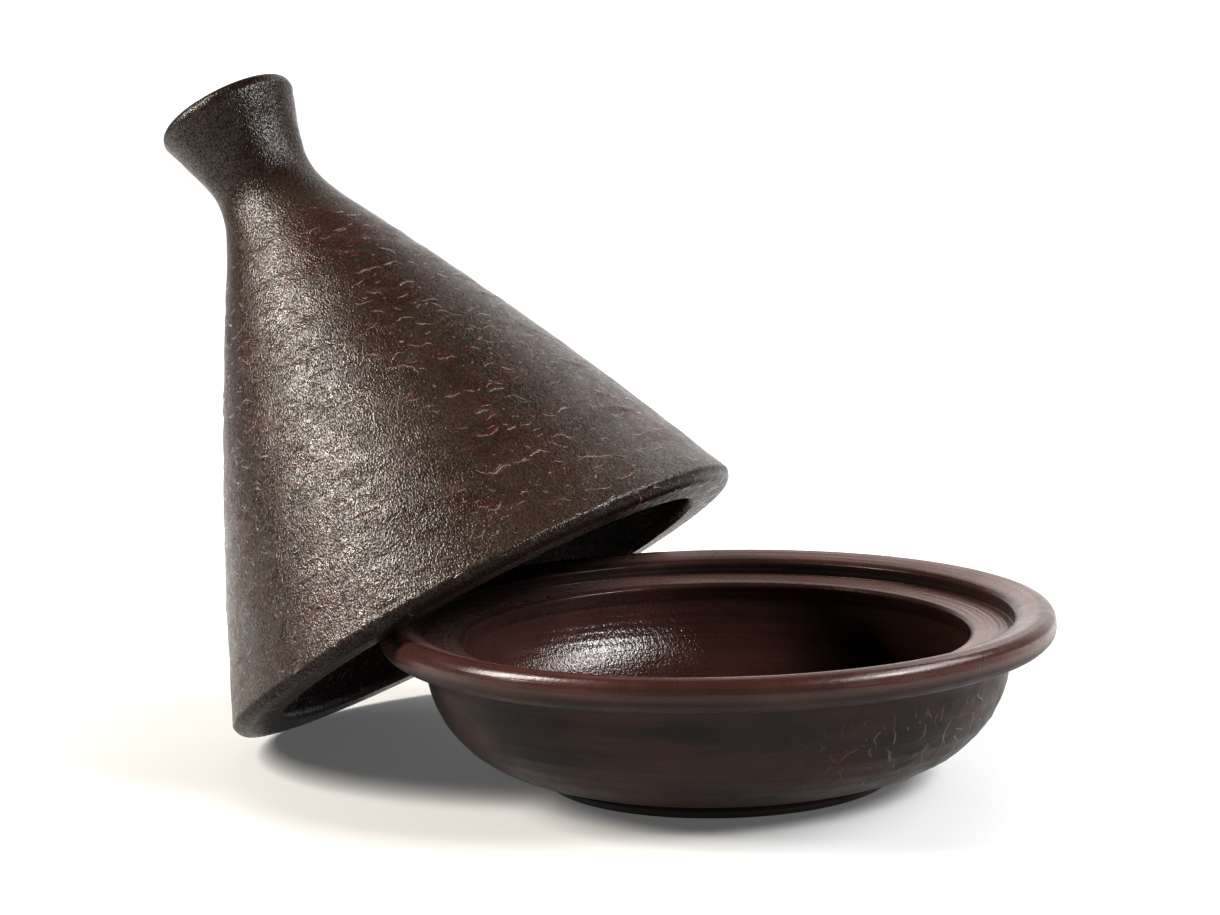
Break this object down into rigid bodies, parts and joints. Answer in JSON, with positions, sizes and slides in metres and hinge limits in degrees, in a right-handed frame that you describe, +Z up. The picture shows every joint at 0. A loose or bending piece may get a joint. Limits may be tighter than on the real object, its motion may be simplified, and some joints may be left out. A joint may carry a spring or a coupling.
{
  "type": "tagine pot",
  "caption": "Clay tagine: a shallow round cooking dish with a recessed ledge round its mouth, and a tall conical lid with a flared knob, shown leaning on the dish's rim.",
  "frame": {"origin": "centre of the dish's flat foot, on the surface that the pot stands on", "axes": "+Z up along the dish's axis; the lid leans on the -X side, and XZ is the plane of symmetry"},
  "size_m": [0.3943, 0.27, 0.2834],
  "materials": {
    "dish_clay": "burnished, satin",
    "lid_clay": "tooled, matte to satin"
  },
  "bodies": {
    "dish": {"base_dish": "dish_clay"},
    "lid": {"lid": "lid_clay"}
  },
  "joints": [
    {"name": "lid_lift", "type": "slide", "parent": "dish", "child": "lid", "axis": [0, 0, 1], "range_m": [0, 0.25]}
  ]
}
